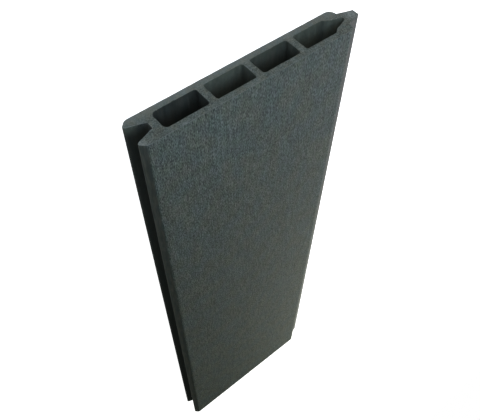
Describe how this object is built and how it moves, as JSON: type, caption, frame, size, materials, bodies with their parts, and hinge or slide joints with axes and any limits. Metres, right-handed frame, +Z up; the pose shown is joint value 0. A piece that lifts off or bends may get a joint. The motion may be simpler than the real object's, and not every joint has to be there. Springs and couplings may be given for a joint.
{
  "type": "composite fence board",
  "caption": "Hollow extruded wood-plastic fence board with a tongue along one long edge and a matching groove along the other, sawn square at both ends.",
  "frame": {"origin": "centre of the board's box, on its underside", "axes": "+X across the board from the groove to the tongue, +Y along its length, +Z up through its thickness to the face that shows"},
  "size_m": [0.15, 0.442, 0.021],
  "materials": {
    "composite": "charcoal wood-filled plastic, faces brushed lengthwise to a fine dull grain, ends sawn"
  },
  "bodies": {
    "root": {"fence_board": "composite"}
  },
  "joints": []
}
